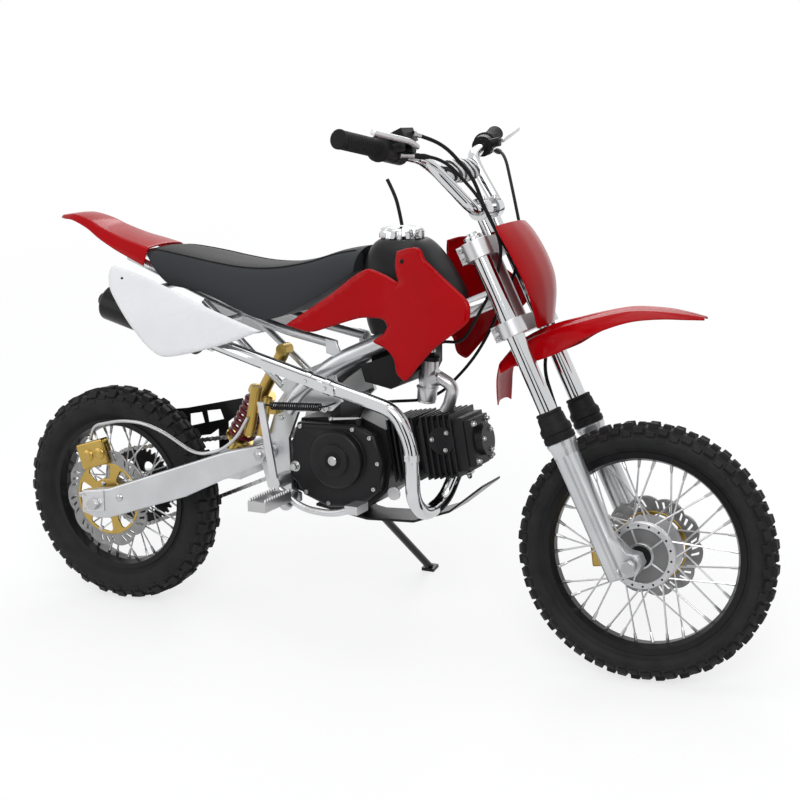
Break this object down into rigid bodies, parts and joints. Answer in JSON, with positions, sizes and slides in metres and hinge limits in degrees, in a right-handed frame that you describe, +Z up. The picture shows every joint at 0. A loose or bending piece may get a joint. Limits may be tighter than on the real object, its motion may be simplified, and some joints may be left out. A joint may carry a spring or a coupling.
{
  "type": "dirt bike",
  "caption": "Small off-road motorcycle with knobbly tyres, long seat, high mudguards and a kick stand, parked leaning on its side stand.",
  "frame": {"origin": "on the ground under the middle of the parked bike", "axes": "+X ahead along the bike, +Y to the bike's left, +Z up; the bike leans 10 degrees to its left on the side stand"},
  "size_m": [1.6106, 0.745, 1.0555],
  "materials": {
    "black_paint": "satin black paint",
    "black_plastic": "satin",
    "black_rim": "gloss black anodised",
    "black_rubber": "matt tread rubber",
    "cast_black": "cast aluminium, painted black",
    "chrome": "polished",
    "gold": "gold anodised",
    "hub_silver": "cast and machined",
    "red_plastic": "gloss",
    "red_steel": "dark red powder coat",
    "seat_cover": "vinyl over foam",
    "silver_paint": "silver paint",
    "soft_black": "matt",
    "steel": "brushed",
    "white_plastic": "gloss"
  },
  "bodies": {
    "chassis": {"air_box": "black_plastic", "brake_pedal": "hub_silver", "carburettor_and_intake": "hub_silver", "chain": "steel", "chain_guard": "black_paint", "clutch_cable": "soft_black", "clutch_cover": "cast_black", "cylinder": "cast_black", "cylinder_head": "cast_black", "engine_cases": "cast_black", "exhaust_pipe": "chrome", "filler_cap": "chrome", "footpegs": "steel", "fuel_tank": "black_plastic", "gear_lever": "steel", "magneto_cover": "cast_black", "main_frame": "silver_paint", "pedal_spring": "black_paint", "rear_axle_and_pivot_bolt": "steel", "rear_brake_hose": "soft_black", "rear_caliper": "gold", "rear_master_cylinder": "gold", "seat": "seat_cover", "shock_body": "gold", "shock_spring": "red_steel", "shrouds": "red_plastic", "side_panels": "white_plastic", "silencer": "black_paint", "skid_plate": "black_paint", "subframe": "silver_paint", "swingarm": "silver_paint", "tail_fender": "red_plastic", "throttle_cable": "soft_black", "vent_hose": "soft_black"},
    "steering": {"bar_controls": "black_plastic", "bar_pad": "soft_black", "dust_boots": "soft_black", "fork_clamps": "hub_silver", "fork_sliders": "silver_paint", "fork_tubes": "chrome", "front_axle": "steel", "front_brake_hose": "soft_black", "front_caliper": "gold", "front_fender": "red_plastic", "grips": "soft_black", "handlebar": "chrome", "lever_blades": "hub_silver", "number_plate": "red_plastic"},
    "front_wheel": {"front_disc": "steel", "front_hub_and_spokes": "hub_silver", "front_rim": "black_rim", "front_tyre": "black_rubber"},
    "rear_wheel": {"rear_disc": "steel", "rear_hub_and_spokes": "hub_silver", "rear_rim": "black_rim", "rear_sprocket": "black_paint", "rear_tyre": "black_rubber"},
    "side_stand": {"side_stand": "black_paint"}
  },
  "joints": [
    {"name": "steering", "type": "hinge", "parent": "chassis", "child": "steering", "pos_m": [0.25757, -0.03591, 0.74635], "axis": [-0.4358, 0.1563, 0.8864], "range_deg": [-43.83, 36.17], "deforming": ["throttle_cable", "clutch_cable"]},
    {"name": "front_wheel_spin", "type": "hinge", "parent": "steering", "child": "front_wheel", "pos_m": [0.56603, -0.12228, 0.23632], "axis": [-0.0602, 0.9776, -0.2019], "continuous": true},
    {"name": "rear_wheel_spin", "type": "hinge", "parent": "chassis", "child": "rear_wheel", "pos_m": [-0.57787, -0.12762, 0.22641], "axis": [0, 0.9848, -0.1736], "continuous": true},
    {"name": "side_stand_fold", "type": "hinge", "parent": "chassis", "child": "side_stand", "pos_m": [-0.03787, -0.04698, 0.23441], "axis": [0.1191, 0.7612, 0.6375], "range_deg": [0, 91]}
  ]
}
